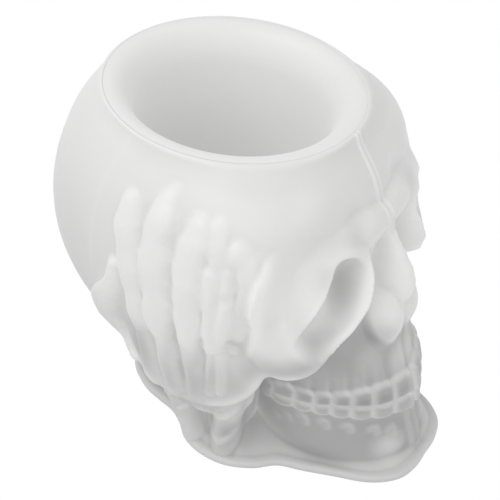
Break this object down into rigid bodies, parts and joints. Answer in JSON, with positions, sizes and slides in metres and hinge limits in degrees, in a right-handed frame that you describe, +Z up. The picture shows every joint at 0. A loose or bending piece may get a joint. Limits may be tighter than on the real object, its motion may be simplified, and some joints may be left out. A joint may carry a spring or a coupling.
{
  "type": "skull pouring mould",
  "caption": "Milky see-through silicone pouring mould shaped as a skull with skeleton hands over its ears, with a lift-out tapered cup on a flat ring that keeps the casting hollow.",
  "frame": {"origin": "middle of the length and width of the mould, on the plane that the bottom lip stands on", "axes": "+Z up through the cup, the face looks along -Y, X = 0 is the plane of symmetry"},
  "size_m": [0.1038, 0.1244, 0.1],
  "materials": {
    "milky_silicone": "milky translucent silicone, satin, neutral white, darker and greyer where the wall is thin or hollow"
  },
  "bodies": {
    "skin": {"skull_skin": "milky_silicone"},
    "core": {"cup_core": "milky_silicone"}
  },
  "joints": [
    {"name": "core_lift", "type": "slide", "parent": "skin", "child": "core", "axis": [0, 0, 1], "range_m": [0, 0.065]}
  ]
}
